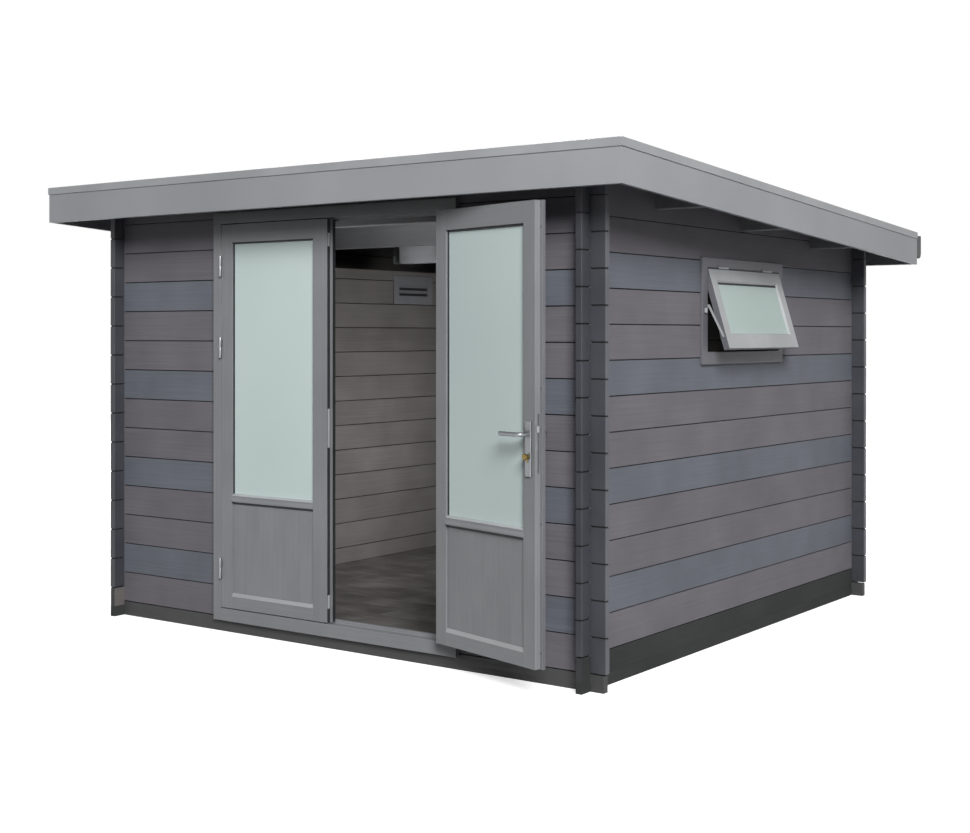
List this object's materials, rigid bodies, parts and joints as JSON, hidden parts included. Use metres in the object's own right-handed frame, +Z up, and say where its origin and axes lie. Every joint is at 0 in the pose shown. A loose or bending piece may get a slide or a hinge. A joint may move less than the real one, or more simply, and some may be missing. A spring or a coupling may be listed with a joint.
{
  "type": "garden office pod",
  "caption": "Single-room garden cabin of stacked boards that cross at the corners, with a sloped roof, rebated double doors and a top-hung window.",
  "frame": {"origin": "middle of the wall footprint at ground level, on the underside of the middle floor bearer", "axes": "+X to the right seen from the doors, +Y to the back wall, +Z up; the doors face -Y"},
  "size_m": [3.448, 3.3802, 2.2156],
  "materials": {
    "board": "matt composite board with fine brushed grain",
    "base": "matt dark treated beam",
    "foot": "matt grey beam",
    "timber": "planed timber",
    "floor": "matt dark planks",
    "roof_edge": "satin grey",
    "sheet": "matt roofing sheet",
    "gutter": "satin",
    "door": "satin paint on timber",
    "glass": "frosted",
    "steel": "satin",
    "brass": "polished",
    "window": "satin paint"
  },
  "bodies": {
    "cabin": {"base_front": "base", "base_back": "base", "base_left": "foot", "base_right": "foot", "plinth_left": "base", "plinth_right": "base", "floor_bearers": "timber", "floor_deck": "floor", "front_wall_left": "board", "front_wall_right": "board", "front_top_board": "board", "back_wall": "board", "left_wall": "board", "right_wall_lower": "board", "right_wall_beside_window": "board", "right_wall_upper": "board", "roof_purlins": "timber", "roof_deck": "timber", "roof_sheet": "sheet", "fascia_front": "roof_edge", "fascia_back": "roof_edge", "fascia_left": "roof_edge", "fascia_right": "roof_edge", "roof_trim_front": "roof_edge", "roof_trim_left": "roof_edge", "roof_trim_right": "roof_edge", "gutter": "gutter", "door_jamb_left": "door", "door_jamb_right": "door", "door_head": "door", "door_sill": "door", "frame_hinges": "steel", "window_casing": "window", "window_sash": "window", "window_glass": "glass", "window_hinges": "steel", "window_stays": "steel", "vent_cover": "steel"},
    "left_leaf": {"left_leaf_frame": "door", "left_leaf_glass": "glass", "left_leaf_panel": "door", "left_leaf_bolts": "steel", "left_leaf_hinges": "steel"},
    "right_leaf": {"right_leaf_frame": "door", "right_leaf_glass": "glass", "right_leaf_panel": "door", "right_leaf_backplates": "steel", "right_leaf_lock": "steel", "right_leaf_cylinder": "brass", "right_leaf_hinges": "steel"},
    "lever": {"lever_handle": "steel"}
  },
  "joints": [
    {"name": "left_leaf_hinge", "type": "hinge", "parent": "cabin", "child": "left_leaf", "pos_m": [-0.6665, -1.4298, 1], "axis": [0, 0, -1], "range_deg": [0, 170]},
    {"name": "right_leaf_hinge", "type": "hinge", "parent": "cabin", "child": "right_leaf", "pos_m": [0.7125, -1.4298, 1], "axis": [0, 0, 1], "range_deg": [-164, 6]},
    {"name": "lever_turn", "type": "hinge", "parent": "right_leaf", "child": "lever", "pos_m": [1.30937, -1.62935, 1.057], "axis": [-0.2756, -0.9613, 0], "range_deg": [0, 40], "stiffness_Nm_per_rad": 2}
  ]
}
